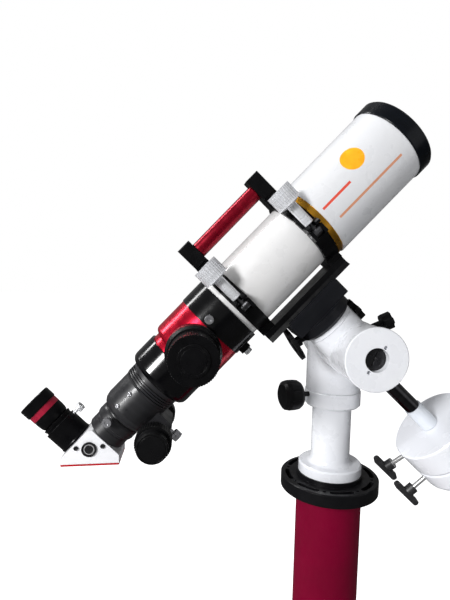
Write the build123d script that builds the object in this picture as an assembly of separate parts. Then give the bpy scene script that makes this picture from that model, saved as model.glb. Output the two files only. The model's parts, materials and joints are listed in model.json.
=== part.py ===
from build123d import *
import math
import os

# A small solar refractor on a white German-equatorial tracker head,
# standing on a short steel pier.  Millimetres, +Z up, origin at the centre
# of the underside of the pier foot.  +X is to the right of the front disc,
# -Y is the side the polar axis points to at rest.

# ---- driving dimensions -------------------------------------------------
ra_height = 718.0          # polar axis above the ground
dec_tilt = 43.0            # counterweight shaft below the horizontal, degrees
dec_offset = 81.5          # declination axis in front of the pier axis
tube_offset = 152.7        # optical axis from the polar axis, along declination

pier_radius = 47.0
pier_wall = 4.0
foot_radius = 160.0
foot_thick = 12.0
pier_top = 500.0
flange_radius = 70.5
flange_thick = 17.6
hub_radius = 47.4
hub_height = 5.9

base_radius = 45.4
base_thick = 14.0
column_radius = 27.9
collar_radius = 39.8
collar_height = 22.6
housing_radius = 38.5
ra_radius = 36.0
disc_radius = 37.2
disc_thick = 7.5
disc_front = 154.5
dec_radius = 32.0
dec_seam = 45.0

shaft_radius = 10.0
shaft_end = 247.0
weight_radius = 54.6
weight_thick = 34.0
weight_face = 143.6

tube_radius = 44.0
dew_radius = 51.5
dew_end = 203.5
cap_radius = 53.2
ring_outer = 48.8
ring_width = 19.0
front_ring = 57.5
rear_ring = -59.5
bar_bottom = 86.5
bar_thick = 13.0
handle_height = 228.0

etalon_radius = 46.8
red_radius = 45.8
black_radius = 42.5
focuser_radius = 33.0
draw_radius = 25.0
focus_axis_a = -243.0
focus_axis_u = 113.0
tuner_a = -137.0
diag_a = -320.5
corner_u = 173.3           # square corner of the diagonal housing
corner_a = -291.2
leg = 60.4
side_half = 25.0
front_cut = 9.5            # blunted ends of the slanted side
rear_cut = 7.0

gap = 0.05                 # radial running clearance

# ---- frames -------------------------------------------------------------
tilt = math.radians(dec_tilt)
head_origin = (0, -dec_offset, ra_height)
dec_dir = (-math.cos(tilt), 0, math.sin(tilt))
tube_dir = (math.sin(tilt), 0, math.cos(tilt))

polar_frame = Plane(origin=(0, 0, ra_height), x_dir=(1, 0, 0), z_dir=(0, -1, 0)).location
dec_frame = Plane(origin=head_origin, x_dir=tube_dir, z_dir=dec_dir).location
tube_frame = Plane(origin=head_origin, x_dir=dec_dir, z_dir=tube_dir).location


# ---- small helpers ------------------------------------------------------
def rod(radius, low, high):
    """Cylinder on the local Z axis between two heights."""
    return Pos(0, 0, (low + high) / 2) * Cylinder(radius, high - low)


def ring(outer, inner, low, high):
    """Tube on the local Z axis."""
    return rod(outer, low, high) - rod(inner, low - 1, high + 1)


def block(x0, x1, y0, y1, z0, z1):
    """Box given by its six faces."""
    size = Box(x1 - x0, y1 - y0, z1 - z0)
    return Pos((x0 + x1) / 2, (y0 + y1) / 2, (z0 + z1) / 2) * size


def along_x(shape):
    """Turn a part built on +Z so that it points along +X."""
    return Rot(0, 90, 0) * shape


def along_y(shape):
    """Turn a part built on +Z so that it points along +Y."""
    return Rot(-90, 0, 0) * shape


def turned(points):
    """Solid of revolution about local Z from (radius, height) points."""
    outline = Polyline(*[(r, 0, h) for r, h in points], close=True)
    face = make_face(outline)
    return revolve(face, Axis.Z, 360)


def round_about(shape, count, start=0):
    """Copies of a shape evenly spaced about local Z."""
    step = 360 / count
    return [Rot(0, 0, start + step * i) * shape for i in range(count)]


def soften(shape, amount):
    """Chamfer the rims at the top of a turned part."""
    rims = shape.edges().filter_by(GeomType.CIRCLE).group_by(Axis.Z)[-1]
    return chamfer(rims, amount)


def lobed_knob(radius, height, lobes, neck_radius, neck):
    """Plastic clamp knob: neck, then a lobed head, on +Z from 0."""
    head = rod(radius, neck, neck + height)
    bite = radius * 0.42
    cutter = Pos(radius + bite * 0.55, 0, neck + height / 2) * Cylinder(bite, height + 2)
    for cut in round_about(cutter, lobes):
        head = head - cut
    head = head + rod(radius * 0.42, neck + height, neck + height + 1.2)
    return head + rod(neck_radius, 0, neck)


def knurled(radius, low, high, teeth, depth=0.5):
    """Straight-knurled disc on local Z."""
    body = rod(radius, low, high)
    cutter = Pos(radius, 0, (low + high) / 2) * Cylinder(depth, high - low + 2)
    for cut in round_about(cutter, teeth):
        body = body - cut
    return body


def thumbscrew(head_radius, head_thick, stem_radius, stem, teeth=18):
    """Knurled head on a plain stem, pointing along +Z from 0."""
    head = knurled(head_radius, stem, stem + head_thick, teeth, 0.4)
    top = stem + head_thick
    dimple = rod(head_radius * 0.45, top - 0.6, top + 1)
    return head - dimple + rod(stem_radius, 0, stem)


def save(shapes, name):
    """Write one part; several solids are kept as one compound."""
    if isinstance(shapes, (list, tuple)):
        shapes = Compound(children=list(shapes))
    export_step(shapes, "parts/" + name + ".step")


# ---- pier ---------------------------------------------------------------
def pier():
    """Welded steel pier: foot plate, four webs and the tube."""
    plate = rod(foot_radius, 0, foot_thick)
    plate = soften(plate, 2)
    for hole in round_about(Pos(foot_radius - 25, 0, 0) * rod(7, -1, 20), 4, 45):
        plate = plate - hole
    outline = Polyline((pier_radius - 2, 0, foot_thick), (foot_radius - 18, 0, foot_thick),
                       (foot_radius - 18, 0, foot_thick + 8), (pier_radius + 4, 0, 128),
                       (pier_radius - 2, 0, 128), close=True)
    web = extrude(make_face(outline), 4, both=True)
    weldment = plate + rod(pier_radius, foot_thick, pier_top)
    for rib in round_about(web, 4):
        weldment = weldment + rib
    weldment = weldment - rod(pier_radius - pier_wall, -1, pier_top + 1)
    for hole in round_about(along_x(rod(2.1, 30, 60)), 3, 225):
        weldment = weldment - Pos(0, 0, pier_top - 6) * hole
    return weldment


def arc_slot(radius, half_width, start, sweep):
    """Through slot following an arc."""
    low = pier_top - 1
    high = pier_top + 25
    slot = ring(radius + half_width, radius - half_width, low, high)
    a0 = math.radians(start)
    a1 = math.radians(start + sweep)
    reach = 2 * radius
    wedge = Polyline((0, 0), (reach * math.cos(a0), reach * math.sin(a0)),
                     (reach * math.cos(a1), reach * math.sin(a1)), close=True)
    wedge = Pos(0, 0, low) * extrude(make_face(wedge), high - low)
    slot = slot & wedge
    for angle in (start, start + sweep):
        slot = slot + Rot(0, 0, angle) * Pos(radius, 0, 0) * rod(half_width, low, high)
    return slot


def pier_head():
    head = rod(flange_radius, pier_top, pier_top + flange_thick)
    head = soften(head, 1.2)
    for index in range(8):
        head = head - arc_slot(61.0, 3.3, index * 45 - 13, 26)
    for hole in round_about(Pos(60.5, 0, 0) * rod(2.3, pier_top - 1, pier_top + 30), 8, 22.5):
        head = head - hole
    top = pier_top + flange_thick + hub_height
    head = head + rod(hub_radius, pier_top + flange_thick, top)
    inner = pier_radius - pier_wall - gap
    head = head + ring(inner, inner - 8, pier_top - 30, pier_top)
    for hole in round_about(along_x(rod(2.1, 30, 60)), 3, 225):
        head = head - Pos(0, 0, pier_top - 6) * hole
    return head


def pier_head_screws():
    stem = rod(2.0, pier_radius - pier_wall - 7, pier_radius + 0.4)
    dome = rod(4.4, pier_radius + 0.05, pier_radius + 2.6)
    dome = soften(dome, 1.2)
    socket = extrude(RegularPolygon(1.7, 6), 3)
    screw = stem + dome - Pos(0, 0, pier_radius + 1.4) * socket
    screws = round_about(along_x(screw), 3, 225)
    return [Pos(0, 0, pier_top - 6) * item for item in screws]


# ---- azimuth column -----------------------------------------------------
base_low = pier_top + flange_thick + hub_height
collar_top = ra_height - 73.0
collar_low = collar_top - collar_height
knob_height = collar_top - 5
knob_turn = 195            # azimuth clamp direction, degrees
bush_radius = 30.0


def mount_column():
    base_high = base_low + base_thick
    flare = 7.0
    points = [(0, base_low), (base_radius, base_low), (base_radius, base_high - 2),
              (base_radius - 2, base_high), (column_radius + flare, base_high)]
    for step in range(1, 6):
        angle = math.radians(15 * step)
        points.append((column_radius + flare - flare * math.sin(angle),
                       base_high + flare - flare * math.cos(angle)))
    points += [(column_radius, base_high + flare), (column_radius, collar_low - 1),
               (column_radius + 1, collar_low), (collar_radius - 3, collar_low),
               (collar_radius, collar_low + 3), (collar_radius, collar_top - 1),
               (collar_radius - 1, collar_top), (bush_radius, collar_top),
               (bush_radius, collar_low + 2), (21, collar_low + 2), (21, base_low + 30),
               (0, base_low + 30)]
    body = turned(points)
    thread = Rot(0, 0, knob_turn) * along_x(rod(3.55, 20, 60))
    return body - Pos(0, 0, knob_height) * thread


def azimuth_knob():
    """Round clamp knob of the azimuth collar."""
    stem = rod(3.5, bush_radius - collar_radius + 1, 14)
    low = 13.0
    points = [(0, low), (13, low), (18, low + 2), (20.6, low + 6), (21.3, low + 12), (21.3, low + 20),
              (20.0, low + 25.5), (15.5, low + 28.5), (0, low + 29.2)]
    head = turned(points)
    for cut in round_about(Pos(22.6, 0, low + 14) * Cylinder(1.9, 40), 9):
        head = head - cut
    knob = Pos(0, 0, collar_radius) * (stem + head + rod(7, 9, low + 1))
    return Pos(0, 0, knob_height) * Rot(0, 0, knob_turn) * along_x(knob)


# ---- polar housing ------------------------------------------------------
housing_low = collar_top + 0.3
seam = 39.0                # polar seam in front of the pier axis


def polar_housing():
    lower = rod(housing_radius, housing_low, ra_height - 2)
    dome = Pos(0, 0, ra_height - 2) * Sphere(housing_radius)
    spigot = rod(bush_radius - gap, collar_low + 2.1, housing_low)
    barrel = polar_frame * rod(ra_radius, -50, seam)
    tail = polar_frame * rod(26, -58, -50)
    body = lower + dome + spigot + barrel + tail
    bore = polar_frame * (rod(24, -40, seam - 3) + rod(17, -60, -39) + rod(20, seam - 4, seam + 5))
    knob_hole = polar_frame * Pos(0, 0, 22) * Rot(0, 0, 24) * along_x(rod(3.05, 10, 60))
    return body - bore - knob_hole


def polar_bearings():
    front = ring(24, 15.05, seam - 13, seam - 4)
    rear = ring(24, 15.05, -40, -30)
    return [polar_frame * front, polar_frame * rear]


def polar_shaft():
    """Hollow polar shaft with its drive flange."""
    shaft = ring(15, 11, -44, seam + 1) + ring(19.8, 11, seam - 1.6, seam + 3)
    return polar_frame * shaft


def polar_lock_knob():
    knob = Pos(0, 0, ra_radius) * lobed_knob(12.5, 13, 5, 5, 30) + rod(3, 26, ra_radius + 5)
    return polar_frame * Pos(0, 0, 22) * Rot(0, 0, 24) * along_x(knob)


# ---- declination body ---------------------------------------------------
body_front = disc_front - disc_thick


def declination_body():
    barrel = polar_frame * rod(ra_radius, seam + 0.3, body_front)
    hip = Pos(*head_origin) * Sphere(ra_radius + 1.0)
    arm = dec_frame * rod(dec_radius, -40, dec_seam)
    boss = dec_frame * turned([(0, -56), (15, -56), (17, -54), (24, -44), (24, -30), (0, -30)])
    body = barrel + hip + arm + boss
    sight = polar_frame * (rod(13.9, seam + 2, body_front + 1) + rod(19.8, seam - 2, seam + 3))
    spindle = dec_frame * rod(18, 16, dec_seam + 1)
    shaft_hole = dec_frame * rod(shaft_radius, -60, -34)
    knob_hole = dec_frame * Pos(0, 12, 33.5) * along_x(rod(3.05, 15, 60))
    return body - sight - spindle - shaft_hole - knob_hole


def front_disc():
    """White front cap with two wrench holes and a central sight hole."""
    disc = rod(disc_radius, body_front, disc_front)
    disc = soften(disc, 1.0)
    disc = disc - rod(13.9, body_front - 1, disc_front + 1)
    for hole in round_about(Pos(16.8, 0, 0) * rod(2.2, disc_front - 5, disc_front + 1), 2, 57):
        disc = disc - hole
    return polar_frame * disc


def sight_plug():
    """Slotted screw cap that closes the polar sight hole."""
    plug = rod(13.9, disc_front - 18, disc_front - 9)
    slot = Rot(0, 0, 70) * block(-9, 9, -1, 1, disc_front - 10.8, disc_front - 8)
    rim = ring(12.6, 11.8, disc_front - 9.6, disc_front - 8)
    return polar_frame * (plug - slot - rim)


def declination_lock_knob():
    knob = Pos(0, 0, dec_radius - 0.4) * lobed_knob(16.3, 7.5, 6, 6, 2) + rod(3, 18.5, dec_radius)
    return dec_frame * Pos(0, 12, 33.5) * along_x(knob)


def counterweight_shaft():
    end = turned([(0, -shaft_end), (8.5, -shaft_end), (shaft_radius, -shaft_end + 1.5),
                  (shaft_radius, -34), (0, -34)])
    return dec_frame * end


def shaft_sleeve():
    return dec_frame * ring(shaft_radius + 1.4, shaft_radius, -weight_face + 0.4, -110)


def weight(face, near_round, far_round, screw_turn):
    """Counterweight disc on the shaft."""
    low = -face - weight_thick
    bore = shaft_radius + gap
    points = [(bore, low), (weight_radius - far_round, low)]
    for step in range(1, 6):
        angle = math.radians(18 * step)
        points.append((weight_radius - far_round + far_round * math.sin(angle),
                       low + far_round - far_round * math.cos(angle)))
    points += [(weight_radius, -face - near_round), (weight_radius - near_round, -face),
               (bore, -face)]
    middle = -face - weight_thick / 2
    tap = Pos(0, 0, middle) * Rot(0, 0, screw_turn) * along_x(rod(3.05, 5, 60))
    return dec_frame * (turned(points) - tap)


def weight_screw(face, screw_turn):
    """T-handled lock screw: steel stem, round hub and black cross bar."""
    middle = -face - weight_thick / 2
    stem = rod(3, 12, 76)
    hub = rod(7.2, 74, 84)
    bar = block(-20.5, 20.5, -4, 4, 83, 91)
    bar = fillet(bar.edges().filter_by(Axis.Y), 3.5)
    place = Pos(0, 0, middle) * Rot(0, 0, screw_turn)
    return dec_frame * place * along_x(stem + hub + bar)


first_face = weight_face
second_face = weight_face + weight_thick + 1.3
first_turn = 160
second_turn = 172


# ---- declination head and saddle ---------------------------------------
saddle_floor = bar_bottom - gap
saddle_low = 66.0
worm_start = 49.1          # handwheel axis where it crosses the spindle axis
worm_tilt = -77
lip_height = 2.5
jaw_screw = 75.0


def declination_head():
    drum = rod(dec_radius, dec_seam + 0.3, 51)
    spindle = rod(18 - gap, 16.2, dec_seam + 0.3)
    return dec_frame * (drum + spindle)


def saddle_body():
    base = turned([(0, 51), (33, 51), (37.5, 55.5), (37.5, saddle_low), (0, saddle_low)])
    deck = block(-40, 41, -27, 30, saddle_low, saddle_floor)
    deck = fillet(deck.edges().filter_by(Axis.Z), 3)
    lip_top = saddle_floor + lip_height
    lip = Polyline((-37, -27, saddle_floor - 1), (-37, -22.2, saddle_floor - 1),
                   (-37, -22.2, saddle_floor), (-37, -20.8, lip_top),
                   (-37, -27, lip_top), close=True)
    body = base + deck + extrude(make_face(lip), 75, dir=(1, 0, 0))
    pocket = block(-30, 36, 23, 45, 69, saddle_floor + 10)
    screw = Pos(3, 0, jaw_screw) * along_y(rod(4.05, -12, 60))
    worm = Pos(0, 0, worm_start) * Rot(0, worm_tilt, 0) * rod(4.05, 27.9, 60)
    return dec_frame * (body - pocket - screw - worm)


def slow_motion_knob():
    """Black handwheel and its worm shaft, beside the saddle."""
    wheel = knurled(22, 48.3, 53.3, 44, 0.6) + rod(6.5, 41.5, 49)
    wheel = wheel + rod(10, 53, 54.6)
    shaft = rod(4, 28, 49)
    return dec_frame * Pos(0, 0, worm_start) * Rot(0, worm_tilt, 0) * (wheel + shaft)


def saddle_jaw():
    """Moving jaw on the far side of the dovetail."""
    jaw = block(-29.9, 35.9, 23.1, 34, 69.1, saddle_floor)
    lip = Polyline((-29.9, 23.1, saddle_floor - 1), (-29.9, 22.2, saddle_floor - 1),
                   (-29.9, 22.2, saddle_floor), (-29.9, 20.8, saddle_floor + lip_height),
                   (-29.9, 34, saddle_floor + lip_height), (-29.9, 34, saddle_floor - 1), close=True)
    lip = extrude(make_face(lip), 65.8, dir=(1, 0, 0))
    lip = lip - block(-60, 60, 0, 23.05, 60, saddle_floor + 0.04)
    screw = Pos(3, 0, jaw_screw) * along_y(rod(4.05, 0, 60))
    return dec_frame * (jaw + lip - screw)


def saddle_knob():
    knob = Pos(0, 0, 34.2) * lobed_knob(15, 13, 5, 6, 4) + rod(4, -10, 35)
    return dec_frame * Pos(3, 0, jaw_screw) * along_y(knob)


# ---- dovetail and tube rings -------------------------------------------
bar_top = bar_bottom + bar_thick
bar_half = 22.0


def dovetail_bar():
    points = [(bar_bottom, -bar_half), (bar_bottom + 6, -bar_half + 3.3),
              (bar_top, -bar_half + 3.3), (bar_top, bar_half - 3.3),
              (bar_bottom + 6, bar_half - 3.3), (bar_bottom, bar_half)]
    face = make_face(Polyline(*points, close=True))
    return tube_frame * Pos(0, 0, -67.5) * extrude(face, 133.5)


split = 1.0                # half of the gap between ring halves
lug_y = 51.0               # clamp bolt beside the tube
lug_u = tube_offset - 6    # bolt pivot height
hinge_y = -54.0
seat = tube_offset + 7.3   # seat of the clamp nut


def ring_blank(a):
    half = ring_width / 2
    return Pos(tube_offset, 0, 0) * ring(ring_outer, tube_radius, a - half, a + half)


def ring_lower(a):
    half = ring_width / 2
    arc = ring_blank(a) & block(0, tube_offset - split, -90, 90, -200, 200)
    foot = block(bar_top, 125, -18, 18, a - half, a + half)
    lug = block(tube_offset - 13, tube_offset - split, 40, 57, a - half, a + half)
    back = block(tube_offset - 9, tube_offset - split, -59, -40, a - half, a + half)
    body = arc + foot + lug + back
    body = body - Pos(tube_offset, 0, 0) * rod(tube_radius, a - half - 1, a + half + 1)
    knuckle = Pos(tube_offset, hinge_y, 0) * rod(5, a - half, a + half)
    gap_block = Pos(tube_offset, hinge_y, 0) * rod(5.4, a - 3.2, a + 3.2)
    body = (body + knuckle) - gap_block
    body = body - Pos(tube_offset, hinge_y, 0) * rod(1.5, a - half - 1, a + half + 1)
    slot = block(tube_offset - 14, tube_offset + 1, 45, 80, a - 5.3, a + 5.3)
    body = body - slot
    return tube_frame * (body - Pos(lug_u, lug_y, 0) * rod(1.5, a - half - 1, a + half + 1))


def ring_upper(a):
    half = ring_width / 2
    arc = ring_blank(a) & block(tube_offset + split, 300, -90, 90, -200, 200)
    lug = block(tube_offset + split, seat, 38, 60, a - half, a + half)
    keep = Pos(lug_u, lug_y, 0) * rod(13.2, a - half, a + half)
    keep = keep + block(tube_offset - 2, seat, 30, lug_y, a - half, a + half)
    lug = lug & keep
    crown = block(190, 213, -10, 10, a - half, a + half)
    back = block(tube_offset + split, tube_offset + 8, -58, -40, a - half, a + half)
    body = arc + lug + crown + back
    body = body - Pos(tube_offset, 0, 0) * rod(tube_radius, a - half - 1, a + half + 1)
    relief = Pos(tube_offset, hinge_y, 0) * rod(5.4, a - half - 1, a + half + 1)
    tongue = Pos(tube_offset, hinge_y, 0) * rod(5, a - 3, a + 3)
    link = block(tube_offset, tube_offset + 8, hinge_y, -48, a - 3, a + 3)
    body = body - relief + tongue + link
    body = body - Pos(tube_offset, hinge_y, 0) * rod(1.5, a - half - 1, a + half + 1)
    slot = block(tube_offset - 2, tube_offset + 12, 46.6, 80, a - 3.6, a + 3.6)
    neck = Pos(0, lug_y, a) * along_x(rod(6.3, seat, seat + 40))
    return tube_frame * (body - slot - neck)


def ring_pins():
    """Hinge pins and clamp-bolt pivots of both rings."""
    pins = []
    for a in (front_ring, rear_ring):
        half = ring_width / 2
        pins.append(tube_frame * Pos(tube_offset, hinge_y, 0) * rod(1.5, a - half, a + half))
        pins.append(tube_frame * Pos(lug_u, lug_y, 0) * rod(1.5, a - half - 0.3, a + half))
    return pins


def swing_bolt(a):
    """Eye bolt that swings out of the ring slots."""
    eye = Pos(lug_u, lug_y, 0) * rod(4.6, a - 5, a + 5)
    stem = Pos(0, lug_y, a) * along_x(rod(3, lug_u, seat + 40))
    hole = Pos(lug_u, lug_y, 0) * rod(1.55, a - 7, a + 7)
    return tube_frame * (eye + stem - hole)


def ring_knob(a):
    """Knurled nut with a long neck on the swing bolt."""
    neck = ring(6.0, 3 + gap, seat + 0.03, seat + 29)
    skirt = turned([(0, seat + 28.5), (6.5, seat + 28.5), (14, seat + 31), (0, seat + 31)])
    head = knurled(15.2, seat + 31, seat + 51, 30, 0.8)
    bore = rod(3 + gap, seat - 10, seat + 45)
    dish = rod(11.5, seat + 50, seat + 52)
    return tube_frame * Pos(0, lug_y, a) * along_x(neck + (skirt + head - bore - dish))


# ---- carrying handle ----------------------------------------------------
def handle_block(a):
    half = 9.2
    body = block(213, 245, -11, 11, a - half, a + half)
    body = fillet(body.edges().filter_by(Axis.Z), 1.5)
    return tube_frame * (body - Pos(handle_height, 0, 0) * rod(7, a - 30, a + 30))


def handle_bar():
    low = rear_ring + 9.25
    high = front_ring - 9.25
    bar = rod(9.9, low, high)
    bar = chamfer(bar.edges().filter_by(GeomType.CIRCLE), 0.8)
    stub = rod(7, low - 18, high + 18)
    return tube_frame * Pos(handle_height, 0, 0) * (bar + stub)


# ---- optical tube -------------------------------------------------------
tube_place = tube_frame * Pos(tube_offset, 0, 0)


def main_tube():
    return tube_place * ring(tube_radius, tube_radius - 2, -75, 84)


def cell_ring():
    """Gold ring with the objective cell behind the dew shield."""
    grip = ring(50, tube_radius, 67.02, 74.5)
    grip = chamfer(grip.edges().filter_by(GeomType.CIRCLE).group_by(Axis.Z)[0], 0.5)
    cell = ring(dew_radius - 2.8, tube_radius, 74.4, 84) + ring(dew_radius - 2.8, 40.5, 84, 100)
    seat_bore = rod(41.3, 86, 101)
    return tube_place * (grip + (cell - seat_bore))


def objective_lenses():
    crown = turned([(0, 93), (41.3, 93), (41.3, 96), (30, 97.3), (15, 98.1), (0, 98.4)])
    flint = turned([(0, 87.4), (41.3, 86.4), (41.3, 92.8), (0, 92.8)])
    return [tube_place * crown, tube_place * flint]


def dew_shield():
    return tube_place * ring(dew_radius, dew_radius - 2.8, 74.52, dew_end)


def dust_cap():
    """Push-on cap with a rolled front edge and a shallow face recess."""
    skirt = dew_radius - 2.85
    rim = dew_end + gap
    points = [(0, 220.0), (45, 220.0), (47, 222.6), (49.5, 223.8), (51.6, 223.2), (cap_radius, 221),
              (cap_radius, rim + 1), (cap_radius - 0.6, rim), (skirt, rim), (skirt, rim - 12),
              (skirt - 2, rim - 12), (skirt - 2, 217), (0, 217)]
    return tube_place * turned(points)


# ---- etalon section and pressure tuner ---------------------------------
def etalon_housing():
    shell = ring(etalon_radius, 40, -107, -75)
    pad = block(-52, -40, -8, 8, -103, -89) - rod(41, -120, -60)
    shoulder = ring(40, 30, -80, -75)
    shell = shell + pad + shoulder
    shell = shell - Pos(0, 0, -96) * along_x(rod(2.05, -60, -35))
    shell = shell - Pos(12, 0, -99) * along_y(rod(2.05, 30, 60))
    return tube_place * shell


def etalon_plates():
    """Two glass plates with a small gap between them."""
    return [tube_place * rod(39.9, -88, -80.1), tube_place * rod(39.9, -96.4, -88.4)]


def side_thumbscrew():
    screw = Pos(0, 0, 36.5) * thumbscrew(5.2, 6, 2, 10)
    return tube_place * Pos(12, 0, -99) * along_y(screw)


def lower_thumbscrew():
    screw = Rot(0, -90, 0) * Pos(0, 0, 41.5) * thumbscrew(5.0, 5, 2, 11.5)
    return tube_place * Pos(0, 0, -96) * screw


def red_body():
    """Red chamber that carries the pressure tuner."""
    points = [(38, -164), (40, -164), (40, -156), (red_radius - 2.4, -154.5), (red_radius - 0.8, -152.8),
              (red_radius, -150), (red_radius, -107.02), (38, -107.02)]
    port = Pos(0, 0, tuner_a) * along_y(rod(14, 20, 60))
    return tube_place * (turned(points) - port)


def tuner_base():
    """Cylinder of the pressure tuner with a bevelled collar."""
    wall = ring(30.5, 22, 30, 68.5)
    collar = turned([(22, 60), (31.8, 60), (31.8, 68.5), (29, 74), (22, 74)])
    floor = ring(30.5, 8, 47, 50)
    tube = Pos(0, 0, tuner_a) * along_y(wall + collar + floor)
    tube = tube - rod(etalon_radius, -107.1, -80)
    return tube_place * (tube - rod(red_radius, -200, -80))


def tuner_knob():
    grip = knurled(27.2, 74.3, 107, 60, 0.6)
    raised = rod(17, 106, 108.6) - ring(14.6, 13.4, 108.0, 109)
    skirt = ring(21.9, 19, 62, 75)
    return tube_place * Pos(0, 0, tuner_a) * along_y(grip + raised + skirt)


def tuner_piston():
    """Piston of the pressure chamber with its seal groove."""
    piston = rod(18.6, 57, 64) - ring(20, 17.4, 59, 62)
    return tube_place * Pos(0, 0, tuner_a) * along_y(piston)


def rear_cylinder():
    """Black cylinder behind the red chamber."""
    rear = black_radius
    points = [(30, -200), (rear - 8, -200), (rear - 3, -198.6), (rear - 0.8, -196), (rear, -192.5),
              (rear, -164.02), (30, -164.02)]
    return tube_place * turned(points)


# ---- focuser ------------------------------------------------------------
def focuser_body():
    """Grooved collar, rounded barrel, pinion bridge and shaft sleeve."""
    collar_points = [(30, -200.02), (34.7, -200.02)]
    for low in (-204.5, -207.6, -210.7, -213.8):
        collar_points += [(34.2, low), (32.2, low - 0.2), (32.2, low - 1.4), (34.0, low - 1.6)]
    collar_points += [(33.2, -218), (30, -218)]
    barrel_points = [(draw_radius + gap, -260), (27.5, -260), (29.5, -259), (31.6, -256),
                     (focuser_radius, -250), (focuser_radius, -217.9), (draw_radius + gap, -217.9)]
    barrel = turned(barrel_points) + turned(collar_points)
    down = focus_axis_u - tube_offset
    a = focus_axis_a
    bridge = block(down - 11, -22, -22, 22, a - 15, a + 20)
    bridge = fillet(bridge.edges().filter_by(Axis.Y), 5)
    sleeve = Pos(down, 0, a) * along_y(rod(9, -36, 36))
    body = barrel + (bridge - rod(29, -300, -200)) + sleeve
    body = body - rod(draw_radius + gap, -300, -217.8)
    body = body - block(-31.4, -10, -4.1, 4.1, -262, -199)
    body = body - Pos(down, 0, a) * along_y(rod(4.05, -60, 60) + rod(8.7, -4.1, 4.1))
    return tube_place * (body - Pos(0, 0, a + 8) * along_x(rod(2.55, -60, -44.3)))


def focus_knobs():
    """Pinion shaft with a stepped knob at each end."""
    half = Pos(0, 0, 0) * rod(4, 0, 50)
    half = half + knurled(21.2, 43.5, 60, 44, 0.7) + rod(10, 36.2, 44)
    step = rod(18, 60, 73.5)
    step = chamfer(step.edges().filter_by(GeomType.CIRCLE).group_by(Axis.Z)[-1], 1.2)
    half = half + (step - ring(16, 14.6, 72.8, 80))
    pinion = rod(8.5, -3.8, 3.8)
    for cut in round_about(Pos(8.8, 0, 0) * Cylinder(0.9, 9), 18):
        pinion = pinion - cut
    shaft = half + Rot(180, 0, 0) * half + pinion
    return tube_frame * Pos(focus_axis_u, 0, focus_axis_a) * along_y(shaft)


def tension_screw():
    screw = Rot(0, -90, 0) * Pos(0, 0, 47.2) * thumbscrew(6.5, 9, 2.5, 13.3)
    return tube_place * Pos(0, 0, focus_axis_a + 8) * screw


clamp_a = -268.5


def drawtube():
    """Racked drawtube with its end adapter."""
    tube = ring(draw_radius, 22, -279, -204)
    rack = block(-31.1, -draw_radius + 2, -4, 4, -260, -206)
    for index in range(17):
        low = -258 + index * 3.0
        rack = rack - block(-40, -29.6, -5, 5, low, low + 1.5)
    end = corner_a + 0.05
    adapter = turned([(20.2, end), (24.2, end), (24.8, end + 1), (24.8, -276), (26.4, -275),
                      (26.8, -273), (26.8, -265), (26, -262.5), (20.2, -262.5)])
    groove = ring(40, 24.2, -279.5, -278.4)
    body = (tube + (rack - rod(23, -300, -100))) + (adapter - groove)
    body = body - rod(20.2, -300, -261)
    return tube_place * (body - Pos(12, 0, clamp_a) * along_y(rod(2.05, 10, 40)))


def clamp_thumbscrew():
    screw = Pos(0, 0, 17.5) * thumbscrew(5.4, 7, 2, 13)
    return tube_place * Pos(12, 0, clamp_a) * along_y(screw)


# ---- star diagonal ------------------------------------------------------


half_slant = leg / math.sqrt(2)
mirror_depth = (leg - (corner_u - tube_offset) - (corner_a - diag_a)) / math.sqrt(2)
mirror_z = ((corner_a - diag_a) - (corner_u - tube_offset)) / -math.sqrt(2)


def slanted(shape):
    """Place a shape on the middle of the slanted side, +X inward."""
    return Pos(corner_u - leg / 2, 0, corner_a - leg / 2) * Rot(0, -45, 0) * shape


def diagonal_body():
    """Right-angle housing, open on the slanted side for the mirror."""
    points = [(corner_u - leg, -side_half, corner_a), (corner_u, -side_half, corner_a - leg),
              (corner_u, -side_half, corner_a - 4), (corner_u - 4, -side_half, corner_a)]
    core = extrude(make_face(Polyline(*points, close=True)), 2 * side_half, dir=(0, 1, 0))
    keep = slanted(block(-9, 90, -40, 40, rear_cut - half_slant, half_slant - front_cut))
    nose = Pos(tube_offset, 0, 0) * rod(20.15, corner_a - 5, -262)
    neck = Pos(0, 0, diag_a) * along_x(rod(19, corner_u - 5, corner_u + 0.9))
    light = Pos(tube_offset, 0, 0) * rod(16, diag_a, -250)
    up = Pos(0, 0, diag_a) * along_x(rod(16, tube_offset, tube_offset + 40))
    pocket = slanted(block(-5, mirror_depth + 0.05, -18, 18, mirror_z - 22, mirror_z + 22))
    return tube_frame * ((core & keep) + nose + neck - light - up - pocket)


def diagonal_plate():
    plate = block(-2.4, -0.02, -25, 25, rear_cut - half_slant, half_slant - front_cut)
    plate = fillet(plate.edges().filter_by(Axis.X), 1.5)
    return tube_frame * slanted(plate)


def diagonal_mirror():
    mirror = block(0, mirror_depth, -17.9, 17.9, mirror_z - 21.9, mirror_z + 21.9)
    return tube_frame * slanted(mirror)


def diagonal_trim():
    """Side-plate screws and a plain round badge on each face."""
    pieces = []
    for side in (-90, 90):
        turn = Rot(side, 0, 0)
        for down, back in ((4.6, 28.0), (25.6, 4.9)):
            screw = turn * (rod(2.7, side_half + 0.02, side_half + 1.5) - rod(1.3, side_half + 0.9, 40))
            pieces.append(tube_frame * Pos(corner_u - down, 0, corner_a - back) * screw)
        badge = rod(8.9, side_half + 0.02, side_half + 1.0)
        badge = badge + ring(8.9, 7.6, side_half + 1, side_half + 1.6)
        pieces.append(tube_frame * Pos(corner_u - 16.7, 0, corner_a - 18.6) * turn * badge)
    return pieces


# ---- eyepiece -----------------------------------------------------------
eye_place = tube_frame * Pos(0, 0, diag_a)


screw_u = 198.4            # holder thumbscrew


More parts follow.
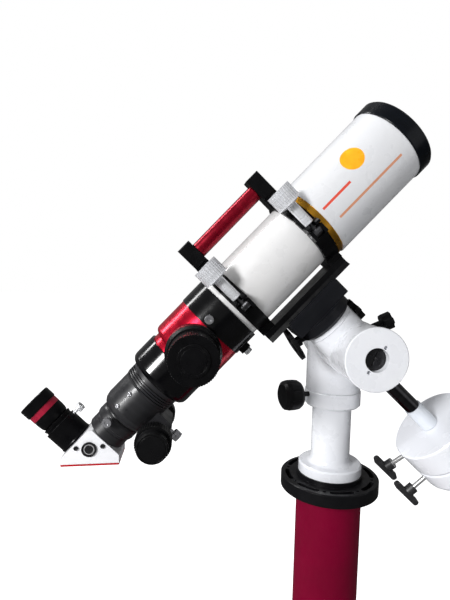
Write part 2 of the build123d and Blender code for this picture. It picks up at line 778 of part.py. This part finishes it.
def eyepiece_holder():
    low = corner_u + 0.92
    barrel = turned([(15.9, low), (21.2, low), (21.2, low + 2), (20.7, low + 3), (20.7, 202),
                     (18.4, 202.3), (18.4, 205.2), (19.2, 205.5), (19.2, 208), (15.9, 208)])
    body = barrel - Pos(0, 0, screw_u) * Rot(0, -90, 0) * rod(2.05, 10, 40)
    return eye_place * along_x(body)


def holder_thumbscrew():
    screw = Pos(0, 0, 16.2) * thumbscrew(5.2, 6, 2, 12)
    return tube_frame * Pos(screw_u, 0, diag_a) * screw


def eyepiece():
    """Barrel, rounded grip, band seat and eyecup in one body."""
    points = [(13, 184), (15.85, 184), (15.85, 208.05), (16.6, 208.05), (17.8, 209.6), (18.5, 212),
              (18.9, 215), (19.1, 218), (19.1, 223.4), (17, 223.4), (17, 231.2), (19.7, 231.2),
              (20.4, 232.2), (20.4, 244.2), (19.4, 245.2), (17.4, 244.4), (16.6, 239), (13, 237)]
    return eye_place * along_x(turned(points))


def eyepiece_band():
    """Red rotating ring, plain and unlettered."""
    band = ring(19.3, 17 + gap, 223.45, 231.15) - ring(25, 18.9, 230.1, 230.5)
    return eye_place * along_x(band)


# ---- write every part ---------------------------------------------------
os.makedirs("parts", exist_ok=True)
save(pier(), "pier")
save(pier_head(), "pier_head")
save(pier_head_screws(), "pier_head_screws")
save(mount_column(), "mount_column")
save(azimuth_knob(), "azimuth_knob")
save(polar_housing(), "polar_housing")
save(polar_bearings(), "polar_bearings")
save(polar_shaft(), "polar_shaft")
save(polar_lock_knob(), "polar_lock_knob")
save(declination_body(), "declination_body")
save(front_disc(), "front_disc")
save(sight_plug(), "sight_plug")
save(declination_lock_knob(), "declination_lock_knob")
save(counterweight_shaft(), "counterweight_shaft")
save(shaft_sleeve(), "shaft_sleeve")
save(weight(first_face, 1.5, 2.5, first_turn), "upper_weight")
save(weight(second_face, 1.5, 12.0, second_turn), "lower_weight")
save(weight_screw(first_face, first_turn), "upper_weight_screw")
save(weight_screw(second_face, second_turn), "lower_weight_screw")
save(declination_head(), "declination_head")
save(saddle_body(), "saddle_body")
save(slow_motion_knob(), "slow_motion_knob")
save(saddle_jaw(), "saddle_jaw")
save(saddle_knob(), "saddle_knob")
save(dovetail_bar(), "dovetail_bar")
save([ring_lower(front_ring), ring_lower(rear_ring)], "ring_lower_halves")
save([ring_upper(front_ring), ring_upper(rear_ring)], "ring_upper_halves")
save(ring_pins(), "ring_pins")
save([swing_bolt(front_ring), swing_bolt(rear_ring)], "swing_bolts")
save(ring_knob(front_ring), "ring_knob_front")
save(ring_knob(rear_ring), "ring_knob_rear")
save([handle_block(front_ring), handle_block(rear_ring)], "handle_blocks")
save(handle_bar(), "handle_bar")
save(main_tube(), "main_tube")
save(cell_ring(), "cell_ring")
save(objective_lenses(), "objective_lenses")
save(dew_shield(), "dew_shield")
save(dust_cap(), "dust_cap")
save(etalon_housing(), "etalon_housing")
save(etalon_plates(), "etalon_plates")
save(side_thumbscrew(), "side_thumbscrew")
save(lower_thumbscrew(), "lower_thumbscrew")
save(red_body(), "red_body")
save(tuner_base(), "tuner_base")
save(tuner_knob(), "tuner_knob")
save(tuner_piston(), "tuner_piston")
save(rear_cylinder(), "rear_cylinder")
save(focuser_body(), "focuser_body")
save(focus_knobs(), "focus_knobs")
save(tension_screw(), "tension_screw")
save(drawtube(), "drawtube")
save(clamp_thumbscrew(), "clamp_thumbscrew")
save(diagonal_body(), "diagonal_body")
save(diagonal_plate(), "diagonal_plate")
save(diagonal_mirror(), "diagonal_mirror")
save(diagonal_trim(), "diagonal_trim")
save(eyepiece_holder(), "eyepiece_holder")
save(holder_thumbscrew(), "holder_thumbscrew")
save(eyepiece(), "eyepiece")
save(eyepiece_band(), "eyepiece_band")
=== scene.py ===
import json
import math

import bpy
from mathutils import Matrix, Vector


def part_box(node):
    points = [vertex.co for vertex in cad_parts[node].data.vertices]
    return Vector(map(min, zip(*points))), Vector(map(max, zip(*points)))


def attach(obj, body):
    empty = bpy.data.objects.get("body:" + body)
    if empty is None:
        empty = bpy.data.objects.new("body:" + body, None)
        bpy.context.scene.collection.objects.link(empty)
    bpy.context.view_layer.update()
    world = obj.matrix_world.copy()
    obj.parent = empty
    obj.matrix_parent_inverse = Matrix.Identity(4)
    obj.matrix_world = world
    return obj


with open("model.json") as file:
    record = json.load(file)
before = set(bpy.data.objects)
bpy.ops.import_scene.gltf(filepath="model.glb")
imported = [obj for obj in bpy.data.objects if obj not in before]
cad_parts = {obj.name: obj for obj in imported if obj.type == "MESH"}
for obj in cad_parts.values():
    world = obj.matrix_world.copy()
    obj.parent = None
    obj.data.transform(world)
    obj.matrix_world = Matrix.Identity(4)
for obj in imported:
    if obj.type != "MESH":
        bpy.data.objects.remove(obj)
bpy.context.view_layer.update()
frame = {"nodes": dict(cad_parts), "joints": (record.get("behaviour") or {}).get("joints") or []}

# ---- frames of the object, from its joints -----------------------------------
joints = {joint["name"]: joint for joint in frame["joints"]}


def joint_axis(name):
    return Vector(joints[name]["axis"])


def joint_place(name):
    return Vector(joints[name]["pos_m"])


HEAD = joint_place("declination_turn")
DEC = joint_axis("declination_turn")
TUBE = joint_axis("diagonal_turn")
POLAR = joint_axis("polar_turn")
TUBE_U = (joint_place("diagonal_turn") - HEAD).dot(DEC)


def at(a, u=TUBE_U):
    """Point a along the tube and u along declination, in the plane of both axes."""
    return HEAD + DEC * u + TUBE * a


# ---- sizes of the drawn details and of the two added screws, in metres ----------
EDGE_RADIUS = 0.0009
STEM_LENGTH = 0.074
DISC_A = 0.1455
DISC_ARC = 0.0245
DISC_RADIUS = 0.0140
SHORT_STRIPE = dict(along=(0.080, 0.124), across=(0.0055, 0.0085))
LONG_STRIPE = dict(along=(0.088, 0.188), across=(-0.0150, -0.0120))
BADGE_U = 0.1566
BADGE_A = -0.3098
BADGE_RING = (0.0052, 0.0062)
BARREL_RADIUS = 0.0322
BARREL_SCREWS = ((-0.2279, 27.9), (-0.2481, 28.7))
DOME_PROFILE = ((0.0030, 0.0), (0.0030, 0.0012), (0.0026, 0.0020), (0.0017, 0.0025),
                (0.0011, 0.0026), (0.0010, 0.0016))
DOME_STEPS = 24
FLOOR_HALF = 12.0


# ---- node helpers ------------------------------------------------------------
def rgb(r, g, b):
    return (r, g, b, 1.0)


def scaled(colour, factor, offset=0.0):
    return rgb(*[min(1.0, channel * factor + offset) for channel in colour])


class Graph:
    """A material and the nodes that feed its one principled shader."""

    def __init__(self, name):
        self.mat = bpy.data.materials.new(name)
        self.mat.use_nodes = True
        self.tree = self.mat.node_tree
        self.nodes = self.tree.nodes
        self.nodes.clear()
        self.out = self.nodes.new("ShaderNodeOutputMaterial")
        self.bsdf = self.nodes.new("ShaderNodeBsdfPrincipled")
        self.link(self.bsdf.outputs[0], self.out.inputs[0])
        self.coord = self.nodes.new("ShaderNodeTexCoord").outputs["Object"]

    def link(self, a, b):
        self.tree.links.new(a, b)

    def put(self, socket, value):
        if isinstance(value, bpy.types.NodeSocket):
            self.link(value, socket)
        else:
            socket.default_value = value

    def math(self, op, *values):
        node = self.nodes.new("ShaderNodeMath")
        node.operation = op
        for socket, value in zip(node.inputs, values):
            self.put(socket, value)
        return node.outputs[0]

    def noise(self, scale, detail=3.0):
        """Cloudy noise in the object's own space."""
        node = self.nodes.new("ShaderNodeTexNoise")
        node.inputs["Scale"].default_value = scale
        node.inputs["Detail"].default_value = detail
        node.inputs["Roughness"].default_value = 0.55
        self.link(self.coord, node.inputs["Vector"])
        return node.outputs[0]

    def lathe(self, axis, scale, detail):
        """Noise that only changes along an axis, as turning marks do."""
        node = self.nodes.new("ShaderNodeTexNoise")
        node.noise_dimensions = "1D"
        node.inputs["Scale"].default_value = scale
        node.inputs["Detail"].default_value = detail
        node.inputs["Roughness"].default_value = 0.55
        self.link(self.dot(axis), node.inputs["W"])
        return node.outputs[0]

    def ramp(self, value, lo, hi, a=0.0, b=1.0):
        node = self.nodes.new("ShaderNodeMapRange")
        self.put(node.inputs[0], value)
        for socket, number in zip(list(node.inputs)[1:5], (lo, hi, a, b)):
            socket.default_value = number
        return node.outputs[0]

    def cloud(self, scale, detail, lo=0.3, hi=0.7, a=0.0, b=1.0):
        return self.ramp(self.noise(scale, detail), lo, hi, a, b)

    def mix(self, factor, a, b):
        node = self.nodes.new("ShaderNodeMix")
        node.data_type = "RGBA"
        self.put(node.inputs[0], factor)
        self.put(node.inputs[6], a)
        self.put(node.inputs[7], b)
        return node.outputs[2]

    def dot(self, axis, origin=(0, 0, 0)):
        """Distance along an axis from an origin."""
        away = self.nodes.new("ShaderNodeVectorMath")
        away.operation = "SUBTRACT"
        self.link(self.coord, away.inputs[0])
        away.inputs[1].default_value = origin
        node = self.nodes.new("ShaderNodeVectorMath")
        node.operation = "DOT_PRODUCT"
        self.link(away.outputs[0], node.inputs[0])
        node.inputs[1].default_value = axis
        return node.outputs["Value"]

    def length(self, x, y):
        squares = self.math("ADD", self.math("MULTIPLY", x, x), self.math("MULTIPLY", y, y))
        return self.math("SQRT", squares)

    def between(self, value, lo, hi):
        return self.math("MULTIPLY", self.math("GREATER_THAN", value, lo), self.math("LESS_THAN", value, hi))

    def bump(self, height, strength, distance, bevel):
        """Fine relief over a normal that rounds off the sharp edges."""
        node = self.nodes.new("ShaderNodeBump")
        node.inputs["Strength"].default_value = strength
        node.inputs["Distance"].default_value = distance
        self.put(node.inputs["Height"], height)
        self.link(self.bevel(bevel), node.inputs["Normal"])
        return node.outputs[0]

    def bevel(self, radius):
        node = self.nodes.new("ShaderNodeBevel")
        node.samples = 4
        node.inputs["Radius"].default_value = radius
        return node.outputs[0]

    def edge(self):
        """0 on flats, 1 on sharp edges, from how far a rounded normal leans."""
        node = self.nodes.new("ShaderNodeVectorMath")
        node.operation = "DOT_PRODUCT"
        self.link(self.bevel(EDGE_RADIUS), node.inputs[0])
        self.link(self.nodes.new("ShaderNodeNewGeometry").outputs["Normal"], node.inputs[1])
        return self.ramp(node.outputs["Value"], 0.97, 0.80)

    def rays(self, name):
        return self.nodes.new("ShaderNodeLightPath").outputs[name]

    def set(self, **values):
        for key, value in values.items():
            self.put(self.bsdf.inputs[key.replace("_", " ")], value)


# ---- finishes ----------------------------------------------------------------
def lacquer(name, colour, shade, rough=0.28, coat=0.6, peel=0.08, spec=0.5):
    """Gloss paint: faint colour drift, orange peel and lighter sharp edges, partly a thinner film and partly
    a painted highlight.
    """
    g = Graph(name)
    base = g.mix(g.cloud(9.0, 4.0, 0.35, 0.65), rgb(*colour), rgb(*shade))
    speck = g.math("MULTIPLY", g.cloud(900.0, 2.0, 0.62, 0.75), 0.10)
    base = g.mix(speck, base, scaled(shade, 0.7))
    # Sharp edges lightened: a thinner paint film together with a painted edge highlight.
    worn_and_highlit_edge = g.math("MULTIPLY", g.edge(), g.cloud(60.0, 4.0, 0.5, 0.7, 0.0, 0.25))
    base = g.mix(worn_and_highlit_edge, base, scaled(colour, 1.25, 0.03))
    g.set(Base_Color=base,
          Roughness=g.cloud(45.0, 3.0, a=rough * 0.8, b=rough * 1.25),
          Coat_Weight=coat,
          Coat_Roughness=0.08,
          Specular_IOR_Level=spec,
          Normal=g.bump(g.noise(420.0, 2.0), peel, 0.0003, 0.0006))
    return g.mat


def anodised(name, colour, axis=None, rough=0.25, metal=0.9, coat=0.3, lines=0.12, bevel=0.0005,
             edge_wear_and_highlight=0.3, spec=0.5):
    """Anodised metal with lathe lines along an axis, or fine grit without one."""
    g = Graph(name)
    if axis is None:
        relief = g.noise(2200.0, 2.0)
        broad = g.noise(70.0, 3.0)
    else:
        relief = g.lathe(axis, 1300.0, 2.0)
        broad = g.lathe(axis, 180.0, 3.0)
    tone = g.mix(g.ramp(broad, 0.3, 0.7), scaled(colour, 0.86), scaled(colour, 1.1))
    # Sharp edges lightened: worn anodising together with a painted edge highlight.
    worn_and_highlit_edge = g.math("MULTIPLY", g.edge(), g.cloud(130.0, 4.0, 0.5, 0.75, 0.0, edge_wear_and_highlight))
    tone = g.mix(worn_and_highlit_edge, tone, scaled(colour, 0.6, 0.12))
    g.set(Base_Color=tone,
          Metallic=metal,
          Roughness=g.cloud(80.0, 4.0, a=rough * 0.75, b=rough * 1.3),
          Coat_Weight=coat,
          Coat_Roughness=0.1,
          Specular_IOR_Level=spec,
          Normal=g.bump(relief, lines, 0.0002, bevel))
    return g.mat


def black(name, colour, axis=None, rough=0.34, coat=0.05, lines=0.06, spec=0.2, metal=0.05):
    """Deep black anodising: hardly metallic, with weak reflections."""
    return anodised(name, colour, axis, rough, metal, coat, lines, spec=spec)


def silver(name, colour, axis=None, rough=0.22, metal=0.6, lines=0.05, bevel=0.0005):
    """Clean pale metal with neither edge wear nor a painted edge highlight."""
    return anodised(name, colour, axis, rough, metal, 0.0, lines, bevel, edge_wear_and_highlight=0.0)


def plastic(name, colour, rough=0.42):
    """Moulded plastic with a fine spark-eroded grain."""
    g = Graph(name)
    base = g.mix(g.cloud(25.0, 4.0, 0.35, 0.65), rgb(*colour), scaled(colour, 1.5, 0.001))
    # Sharp edges lightened: scuffing together with a painted edge highlight.
    scuffed_and_highlit_edge = g.math("MULTIPLY", g.edge(), g.cloud(90.0, 5.0, 0.45, 0.7, 0.0, 0.4))
    g.set(Base_Color=g.mix(scuffed_and_highlit_edge, base, scaled(colour, 1.0, 0.04)),
          Roughness=g.cloud(55.0, 3.0, a=rough * 0.8, b=rough * 1.2),
          Specular_IOR_Level=0.15,
          Normal=g.bump(g.noise(1100.0, 3.0), 0.25, 0.0002, 0.0008))
    return g.mat


def glass(name, tint):
    """Coated optical glass."""
    g = Graph(name)
    g.set(Base_Color=g.mix(g.cloud(12.0, 2.0), rgb(*tint), scaled(tint, 0.92)),
          Roughness=g.cloud(60.0, 3.0, a=0.01, b=0.05),
          Transmission_Weight=1.0,
          IOR=1.5)
    return g.mat


def tee_screw(name, joint):
    """Steel stem up to the hub, black plastic handle beyond it."""
    g = Graph(name)
    steel = g.math("LESS_THAN", g.dot(joint_axis(joint), joint_place(joint)), STEM_LENGTH)
    grain = g.cloud(70.0, 4.0)
    dark = g.mix(grain, rgb(0.012, 0.012, 0.013), rgb(0.022, 0.022, 0.024))
    bright = g.mix(grain, rgb(0.42, 0.42, 0.42), rgb(0.50, 0.50, 0.50))
    g.set(Base_Color=g.mix(steel, dark, bright),
          Metallic=g.math("MULTIPLY", steel, 0.6),
          Roughness=g.math("SUBTRACT", g.cloud(55.0, 3.0, a=0.36, b=0.48), g.math("MULTIPLY", steel, 0.16)),
          Normal=g.bump(g.noise(900.0, 3.0), 0.06, 0.0002, 0.0008))
    return g.mat


def marked_shield(name):
    """White dew shield with a plain amber disc and two plain stripes."""
    g = Graph(name)
    low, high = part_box("dew_shield")
    radius = (high.y - low.y) / 2
    angle = g.math("ARCTAN2", g.dot(DEC, at(0.0)), g.dot(POLAR, at(0.0)))
    arc = g.math("MULTIPLY", angle, radius)
    along = g.dot(TUBE, at(0.0))
    base = g.mix(g.cloud(9.0, 4.0, 0.35, 0.65), rgb(0.66, 0.665, 0.68), rgb(0.62, 0.63, 0.655))
    away = g.length(g.math("SUBTRACT", along, DISC_A), g.math("SUBTRACT", arc, DISC_ARC))
    amber = g.mix(g.cloud(70.0, 3.0, 0.35, 0.65), rgb(0.88, 0.34, 0.005), rgb(0.86, 0.42, 0.01))
    base = g.mix(g.math("LESS_THAN", away, DISC_RADIUS), base, amber)
    for stripe, colour in ((SHORT_STRIPE, rgb(0.66, 0.07, 0.04)), (LONG_STRIPE, rgb(0.62, 0.26, 0.14))):
        inside = g.math("MULTIPLY", g.between(along, *stripe["along"]), g.between(arc, *stripe["across"]))
        base = g.mix(inside, base, colour)
    g.set(Base_Color=base,
          Roughness=g.cloud(45.0, 3.0, a=0.24, b=0.36),
          Coat_Weight=0.4,
          Coat_Roughness=0.08,
          Normal=g.bump(g.noise(420.0, 2.0), 0.07, 0.0003, 0.0006))
    return g.mat


def badge(name):
    """Black round badge with one light ring and no lettering."""
    g = Graph(name)
    centre = at(BADGE_A, BADGE_U)
    ring = g.between(g.length(g.dot(DEC, centre), g.dot(TUBE, centre)), *BADGE_RING)
    dark = g.mix(g.cloud(120.0, 3.0), rgb(0.010, 0.010, 0.012), rgb(0.018, 0.018, 0.02))
    g.set(Base_Color=g.mix(ring, dark, rgb(0.42, 0.42, 0.43)),
          Metallic=0.3,
          Roughness=g.cloud(80.0, 3.0, a=0.24, b=0.36),
          Coat_Weight=0.4,
          Normal=g.bump(g.noise(800.0, 2.0), 0.08, 0.0002, 0.0004))
    return g.mat


# ---- materials on the CAD nodes ----------------------------------------------
def assign(mat, *names):
    for name in names:
        node = frame["nodes"][name]
        if not node.material_slots:
            node.data.materials.append(mat)
        for slot in node.material_slots:
            slot.material = mat


def paint_white_parts():
    white = (0.78, 0.79, 0.82)
    shade = (0.73, 0.745, 0.785)
    assign(lacquer("mount_white", white, shade),
           "polar_housing", "declination_body", "front_disc", "declination_head", "mount_column")
    assign(lacquer("weight_white", (0.85, 0.865, 0.91), (0.80, 0.815, 0.86), rough=0.24),
           "upper_weight", "lower_weight")
    assign(lacquer("tube_white", (0.66, 0.655, 0.65), (0.62, 0.62, 0.625), rough=0.3, coat=0.5),
           "main_tube")
    assign(lacquer("diagonal_white", (0.80, 0.80, 0.82), shade, rough=0.3, coat=0.4), "diagonal_body")
    assign(lacquer("sleeve_white", (0.80, 0.83, 0.88), (0.70, 0.74, 0.80), rough=0.18, coat=0.5, peel=0.02),
           "shaft_sleeve")
    assign(marked_shield("shield_white"), "dew_shield")


def paint_red_parts():
    assign(lacquer("pier_red", (0.165, 0.0003, 0.020), (0.135, 0.0003, 0.016),
                   rough=0.42, coat=0.03, peel=0.10, spec=0.05),
           "pier")
    assign(anodised("red_anodised", (0.50, 0.001, 0.022), TUBE, metal=0.75, coat=0.08, lines=0.02, edge_wear_and_highlight=0.0),
           "red_body")
    assign(anodised("handle_red", (0.27, 0.0005, 0.014), TUBE,
                    rough=0.27, metal=0.7, coat=0.05, lines=0.02, edge_wear_and_highlight=0.0),
           "handle_bar")
    assign(anodised("plate_red", (0.55, 0.01, 0.015), rough=0.3, metal=0.3, lines=0.05), "diagonal_plate")
    assign(anodised("band_red", (0.42, 0.008, 0.04), TUBE, rough=0.35, metal=0.4, coat=0.2, lines=0.1),
           "eyepiece_band")


def paint_black_parts():
    assign(black("flange_black", (0.004, 0.004, 0.005), rough=0.38, lines=0.1, spec=0.18), "pier_head")
    assign(black("rings_black", (0.0025, 0.0025, 0.003), TUBE, rough=0.32, spec=0.14),
           "ring_lower_halves", "ring_upper_halves", "handle_blocks", "dovetail_bar")
    assign(black("saddle_grey", (0.007, 0.0075, 0.0095), DEC, rough=0.4, spec=0.16),
           "saddle_body", "saddle_jaw")
    assign(black("cap_black", (0.002, 0.003, 0.005), TUBE, rough=0.24, spec=0.25), "dust_cap")
    assign(black("gloss_black", (0.0015, 0.0015, 0.002), TUBE, rough=0.16, coat=0.2, lines=0.03, spec=0.3),
           "etalon_housing", "rear_cylinder")
    assign(black("satin_black", (0.018, 0.018, 0.020), TUBE,
                 rough=0.36, coat=0.1, lines=0.08, spec=0.4, metal=0.1),
           "focuser_body", "drawtube")
    assign(black("tuner_black", (0.0025, 0.0025, 0.003), POLAR, rough=0.3, coat=0.1, lines=0.05),
           "tuner_base", "tuner_knob")
    assign(black("knob_black", (0.0035, 0.0035, 0.004), POLAR, lines=0.08), "focus_knobs")
    assign(black("ocular_black", (0.002, 0.002, 0.0025), DEC, lines=0.08, spec=0.12),
           "eyepiece", "eyepiece_holder")
    assign(anodised("trim_black", (0.01, 0.01, 0.012), rough=0.3, metal=0.2, coat=0.4, lines=0.08),
           "sight_plug")
    assign(badge("badge_black"), "diagonal_trim")
    assign(plastic("knob_plastic", (0.0025, 0.0025, 0.003)),
           "azimuth_knob", "polar_lock_knob", "declination_lock_knob", "slow_motion_knob", "saddle_knob")


def paint_bare_metals():
    assign(anodised("gold", (0.74, 0.36, 0.03), TUBE, rough=0.28, metal=1.0, coat=0.2, lines=0.1),
           "cell_ring")
    assign(silver("turned_silver", (0.78, 0.79, 0.82), DEC, rough=0.26, metal=0.45, lines=0.02, bevel=0.0001),
           "ring_knob_front", "ring_knob_rear")
    assign(silver("bright_silver", (0.74, 0.75, 0.77)),
           "lower_thumbscrew", "holder_thumbscrew", "pier_head_screws", "ring_pins", "tuner_piston")
    assign(silver("smoky_silver", (0.40, 0.40, 0.42), rough=0.25, metal=0.7),
           "side_thumbscrew", "tension_screw", "clamp_thumbscrew")
    assign(anodised("dark_steel", (0.16, 0.16, 0.17), TUBE, rough=0.28, metal=1.0, coat=0.0, lines=0.1),
           "swing_bolts")
    assign(anodised("dark_chrome", (0.05, 0.05, 0.055), DEC, rough=0.13, metal=1.0, coat=0.2, lines=0.05),
           "counterweight_shaft")
    assign(anodised("ground_steel", (0.5, 0.5, 0.5), POLAR, metal=1.0, coat=0.0, lines=0.1),
           "polar_bearings", "polar_shaft")
    assign(tee_screw("upper_tee", "upper_weight_lock_turn"), "upper_weight_screw")
    assign(tee_screw("lower_tee", "lower_weight_lock_turn"), "lower_weight_screw")


def paint_optics():
    assign(anodised("mirror_coat", (0.9, 0.9, 0.9), rough=0.03, metal=1.0, coat=0.0, lines=0.0),
           "diagonal_mirror")
    assign(glass("objective_glass", (0.86, 0.93, 0.96)), "objective_lenses")
    assign(glass("etalon_glass", (0.95, 0.72, 0.55)), "etalon_plates")


# ---- the two small screws on the focuser barrel --------------------------------
def domed_head(foot, out, side, first):
    """Points and faces of one domed head that stands on foot, numbered from first."""
    points = []
    for radius, rise in DOME_PROFILE:
        for step in range(DOME_STEPS):
            turn = 2 * math.pi * step / DOME_STEPS
            spoke = TUBE * math.cos(turn) + side * math.sin(turn)
            points.append(foot + out * rise + spoke * radius)
    faces = []
    for level in range(len(DOME_PROFILE) - 1):
        lower = first + level * DOME_STEPS
        upper = lower + DOME_STEPS
        for step in range(DOME_STEPS):
            after = (step + 1) % DOME_STEPS
            faces.append((lower + step, lower + after, upper + after, upper + step))
    last = first + (len(DOME_PROFILE) - 1) * DOME_STEPS
    faces.append(tuple(first + step for step in reversed(range(DOME_STEPS))))
    faces.append(tuple(last + step for step in range(DOME_STEPS)))
    return points, faces


def add_barrel_screws():
    points = []
    faces = []
    for a, degrees in BARREL_SCREWS:
        angle = math.radians(degrees)
        out = POLAR * math.cos(angle) + DEC * math.sin(angle)
        foot = at(a) + out * BARREL_RADIUS
        more_points, more_faces = domed_head(foot, out, TUBE.cross(out), len(points))
        points += more_points
        faces += more_faces
    mesh = bpy.data.meshes.new("focuser_screws")
    mesh.from_pydata(points, [], faces)
    for face in mesh.polygons:
        face.use_smooth = True
    piece = bpy.data.objects.new("focuser_screws", mesh)
    bpy.context.scene.collection.objects.link(piece)
    mesh.materials.append(silver("screw_silver", (0.42, 0.42, 0.44), rough=0.3, metal=0.7, lines=0.04,
                                 bevel=0.0001))
    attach(piece, "telescope")


# ---- floor, light and camera -----------------------------------------------------
def add_floor():
    """Pale floor that looks white to the camera and dark in reflections."""
    corners = [(x, y, 0) for x, y in ((-1, -1), (1, -1), (1, 1), (-1, 1))]
    mesh = bpy.data.meshes.new("floor")
    mesh.from_pydata([Vector(corner) * FLOOR_HALF for corner in corners], [], [(0, 1, 2, 3)])
    floor = bpy.data.objects.new("floor", mesh)
    bpy.context.scene.collection.objects.link(floor)
    g = Graph("floor_pale")
    pale = g.mix(g.noise(3.0), rgb(0.84, 0.84, 0.85), rgb(0.9, 0.9, 0.9))
    g.set(Base_Color=g.mix(g.rays("Is Glossy Ray"), pale, rgb(0.10, 0.10, 0.10)),
          Roughness=0.9,
          Emission_Color=rgb(1.0, 1.0, 1.0),
          Emission_Strength=g.math("MULTIPLY", g.rays("Is Camera Ray"), 0.85))
    mesh.materials.append(g.mat)


def add_surround(backdrop=1.0, fill=0.28, mirrored=0.21):
    """White world for the camera, dimmer as fill light and dimmest in reflections."""
    world = bpy.data.worlds.new("studio")
    bpy.context.scene.world = world
    world.use_nodes = True
    nodes = world.node_tree.nodes
    link = world.node_tree.links.new
    rays = nodes.new("ShaderNodeLightPath").outputs
    camera_part = nodes.new("ShaderNodeMath")
    camera_part.operation = "MULTIPLY_ADD"
    link(rays["Is Camera Ray"], camera_part.inputs[0])
    camera_part.inputs[1].default_value = backdrop - fill
    camera_part.inputs[2].default_value = fill
    glossy_part = nodes.new("ShaderNodeMath")
    glossy_part.operation = "MULTIPLY_ADD"
    link(rays["Is Glossy Ray"], glossy_part.inputs[0])
    glossy_part.inputs[1].default_value = mirrored - fill
    link(camera_part.outputs[0], glossy_part.inputs[2])
    background = nodes["Background"]
    background.inputs[0].default_value = rgb(1.0, 1.0, 1.0)
    link(glossy_part.outputs[0], background.inputs[1])


def add_softbox(name, place, width, height, power):
    """Rectangular soft light that faces the middle of the instrument."""
    target = Vector((-0.05, -0.08, 0.75))
    light = bpy.data.lights.new(name, "AREA")
    light.shape = "RECTANGLE"
    light.size = width
    light.size_y = height
    light.energy = power
    box = bpy.data.objects.new(name, light)
    box.location = place
    box.rotation_euler = (target - Vector(place)).to_track_quat("-Z", "Y").to_euler()
    bpy.context.scene.collection.objects.link(box)


def add_camera():
    """Wide view from the front, a little from the left and above."""
    data = bpy.data.cameras.new("camera")
    data.lens = 27.63
    data.sensor_width = 36.0
    data.clip_start = 0.01
    data.clip_end = 60.0
    forward = Vector((0.0742, 0.9948, -0.0698)).normalized()
    right = Vector((0.9970, -0.0726, 0.0252)).normalized()
    right = (right - forward * right.dot(forward)).normalized()
    up = right.cross(forward)
    turn = Matrix((right, up, -forward)).transposed().to_4x4()
    camera = bpy.data.objects.new("camera", data)
    bpy.context.scene.collection.objects.link(camera)
    camera.matrix_world = Matrix.Translation((-0.2092, -0.6486, 0.8169)) @ turn
    bpy.context.scene.camera = camera


paint_white_parts()
paint_red_parts()
paint_black_parts()
paint_bare_metals()
paint_optics()
add_barrel_screws()
add_floor()
add_surround()
add_softbox("key", (-1.75, -1.55, 1.45), 0.5, 0.5, 58)
add_softbox("strip", (-1.1, 0.35, 1.9), 0.18, 1.3, 14)
add_softbox("fill", (1.3, -1.5, 0.9), 1.2, 1.2, 2.0)
add_camera()
bpy.context.scene.view_settings.view_transform = "Standard"
